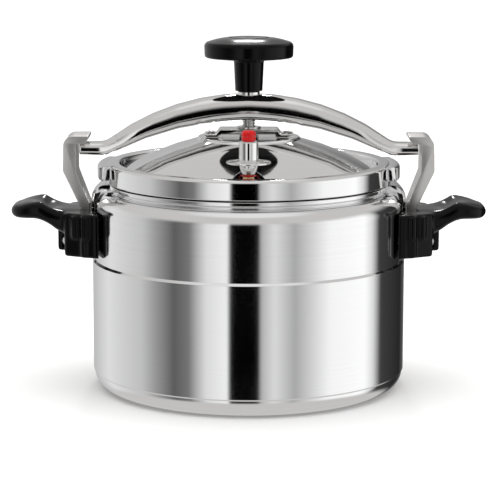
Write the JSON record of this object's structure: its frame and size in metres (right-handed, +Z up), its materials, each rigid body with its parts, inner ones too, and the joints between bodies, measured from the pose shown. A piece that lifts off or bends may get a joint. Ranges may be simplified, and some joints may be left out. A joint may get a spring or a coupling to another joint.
{
  "type": "pressure canner",
  "caption": "Clamp-lid aluminium pressure canner: side-handled pot with hooks, domed lid, screw yoke with knob, weighted working valve, relief valve and rack.",
  "frame": {"origin": "middle of the pot's base, on the surface it stands on", "axes": "+Z up; side handles along X; working valve of the lid towards -Y"},
  "size_m": [0.3646, 0.24, 0.2688],
  "materials": {
    "polished_aluminium": "polished, fine spun lines",
    "cast_aluminium": "tumbled satin casting",
    "chrome": "bright plated",
    "steel": "bright zinc-plated",
    "brass": "turned",
    "black_moulding": "glossy black moulded phenolic",
    "red_silicone": "soft satin red",
    "silicone": "translucent white silicone",
    "rack_aluminium": "satin pressed sheet"
  },
  "bodies": {
    "pot": {"pot_shell": "polished_aluminium", "hook_right": "cast_aluminium", "hook_left": "cast_aluminium", "handle_right": "black_moulding", "handle_left": "black_moulding", "handle_studs": "steel", "handle_nuts": "steel"},
    "lid": {"lid_shell": "polished_aluminium", "sealing_gasket": "silicone", "lid_bridge": "steel", "bridge_rivets": "steel", "vent_pipe": "brass", "vent_seal": "red_silicone", "vent_strainer": "brass", "vent_nut": "steel", "relief_housing": "steel", "relief_nut": "steel"},
    "weight": {"weight_body": "chrome", "weight_disc": "chrome", "weight_cap": "red_silicone"},
    "relief": {"relief_plug": "red_silicone"},
    "screw": {"screw_spindle": "steel", "knob": "black_moulding", "knob_cap": "black_moulding", "knob_pin": "steel"},
    "washer": {"swivel_washer": "steel"},
    "yoke": {"yoke_beam": "chrome", "yoke_bush": "steel"},
    "rack": {"rack_plate": "rack_aluminium", "rack_ring": "rack_aluminium"}
  },
  "joints": [
    {"name": "lid_lift", "type": "slide", "parent": "pot", "child": "lid", "axis": [0, 0, 1], "range_m": [0, 0.16]},
    {"name": "knob_turn", "type": "hinge", "parent": "lid", "child": "screw", "pos_m": [0, 0, 0.24], "axis": [0, 0, 1], "range_deg": [0, 540]},
    {"name": "yoke_swing", "type": "hinge", "parent": "lid", "child": "washer", "pos_m": [0, 0, 0.202], "axis": [0, 0, 1], "range_deg": [-60, 60]},
    {"name": "yoke_travel", "type": "slide", "parent": "washer", "child": "yoke", "axis": [0, 0, 1], "range_m": [-0.003, 0]},
    {"name": "weight_lift", "type": "slide", "parent": "lid", "child": "weight", "axis": [0, 0, 1], "range_m": [0, 0.03]},
    {"name": "relief_pop", "type": "slide", "parent": "lid", "child": "relief", "axis": [0, 0, 1], "range_m": [0, 0.004]},
    {"name": "rack_lift", "type": "slide", "parent": "pot", "child": "rack", "axis": [0, 0, 1], "range_m": [0, 0.13]}
  ],
  "couplings": [
    {"joint": "knob_turn", "follows": "yoke_travel", "rad_per_m": -3141.6}
  ]
}
